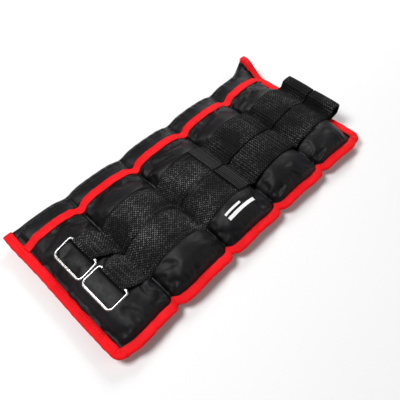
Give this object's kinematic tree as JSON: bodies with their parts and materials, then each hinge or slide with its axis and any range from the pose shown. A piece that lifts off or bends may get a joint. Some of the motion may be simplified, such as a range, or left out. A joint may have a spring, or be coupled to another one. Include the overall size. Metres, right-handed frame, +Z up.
{
  "type": "ankle cuff weight",
  "caption": "Row of filled fabric pockets joined by bending seams, bound with red tape, with wire loops and folded webbing straps that close round an ankle.",
  "frame": {"origin": "middle of the cuff's bounding box, on the surface it lies on", "axes": "+X along the cuff from the wire loops to the strap folds, +Y across it to the pocket mouths, +Z up out of the front face"},
  "size_m": [0.336, 0.164, 0.0314],
  "materials": {
    "nylon": "coated woven nylon with a soft sheen",
    "lining": "matt woven nylon",
    "binding": "ribbed polyester tape",
    "webbing": "ridged webbing",
    "hook": "hook tape",
    "steel": "bright plated wire",
    "filling": "loose iron sand in a sewn pouch",
    "print": "matt printed film"
  },
  "bodies": {
    "pocket_1": {"front_cover_1": "nylon", "back_cover_1": "lining", "mouth_flap_1": "nylon", "closure_tape_1": "hook", "weight_bag_1": "filling", "binding_near_1": "binding", "binding_far_1": "binding", "webbing_far_1": "webbing", "webbing_near_1": "webbing", "strap_keeper_far": "webbing", "strap_keeper_near": "webbing", "binding_left_end": "binding"},
    "pocket_2": {"front_cover_2": "nylon", "back_cover_2": "lining", "mouth_flap_2": "nylon", "closure_tape_2": "hook", "weight_bag_2": "filling", "binding_near_2": "binding", "binding_far_2": "binding", "webbing_far_2": "webbing", "webbing_near_2": "webbing"},
    "pocket_3": {"front_cover_3": "nylon", "back_cover_3": "lining", "mouth_flap_3": "nylon", "closure_tape_3": "hook", "weight_bag_3": "filling", "binding_near_3": "binding", "binding_far_3": "binding", "webbing_far_3": "webbing", "webbing_near_3": "webbing", "badge": "print"},
    "pocket_4": {"front_cover_4": "nylon", "back_cover_4": "lining", "mouth_flap_4": "nylon", "closure_tape_4": "hook", "weight_bag_4": "filling", "binding_near_4": "binding", "binding_far_4": "binding", "webbing_far_4": "webbing", "webbing_near_4": "webbing"},
    "pocket_5": {"front_cover_5": "nylon", "back_cover_5": "lining", "mouth_flap_5": "nylon", "closure_tape_5": "hook", "weight_bag_5": "filling", "binding_near_5": "binding", "binding_far_5": "binding", "webbing_far_5": "webbing", "webbing_near_5": "webbing", "strap_fold_far": "webbing", "strap_fold_near": "webbing", "binding_right_end": "binding"},
    "loop_far": {"wire_loop_far": "steel"},
    "tail_far": {"strap_tail_far": "webbing", "hook_tip_far": "hook"},
    "loop_near": {"wire_loop_near": "steel"},
    "tail_near": {"strap_tail_near": "webbing", "hook_tip_near": "hook"}
  },
  "joints": [
    {"name": "seam_23", "type": "hinge", "parent": "pocket_3", "child": "pocket_2", "pos_m": [-0.036, 0, 0.009], "axis": [0, -1, 0], "range_deg": [0, 60]},
    {"name": "seam_12", "type": "hinge", "parent": "pocket_2", "child": "pocket_1", "pos_m": [-0.102, 0, 0.009], "axis": [0, -1, 0], "range_deg": [0, 60]},
    {"name": "seam_34", "type": "hinge", "parent": "pocket_3", "child": "pocket_4", "pos_m": [0.03, 0, 0.009], "axis": [0, 1, 0], "range_deg": [0, 60]},
    {"name": "seam_45", "type": "hinge", "parent": "pocket_4", "child": "pocket_5", "pos_m": [0.096, 0, 0.009], "axis": [0, 1, 0], "range_deg": [0, 60]},
    {"name": "loop_far_hinge", "type": "hinge", "parent": "pocket_1", "child": "loop_far", "pos_m": [-0.128, 0.0076, 0.02585], "axis": [0, 1, 0], "range_deg": [0, 165]},
    {"name": "loop_near_hinge", "type": "hinge", "parent": "pocket_1", "child": "loop_near", "pos_m": [-0.128, -0.0316, 0.02585], "axis": [0, 1, 0], "range_deg": [0, 165]},
    {"name": "tail_far_fold", "type": "hinge", "parent": "pocket_5", "child": "tail_far", "pos_m": [0.168, 0.0048, 0.02], "axis": [0, 1, 0], "range_deg": [0, 175]},
    {"name": "tail_near_fold", "type": "hinge", "parent": "pocket_5", "child": "tail_near", "pos_m": [0.168, -0.0288, 0.02], "axis": [0, 1, 0], "range_deg": [0, 175]}
  ]
}
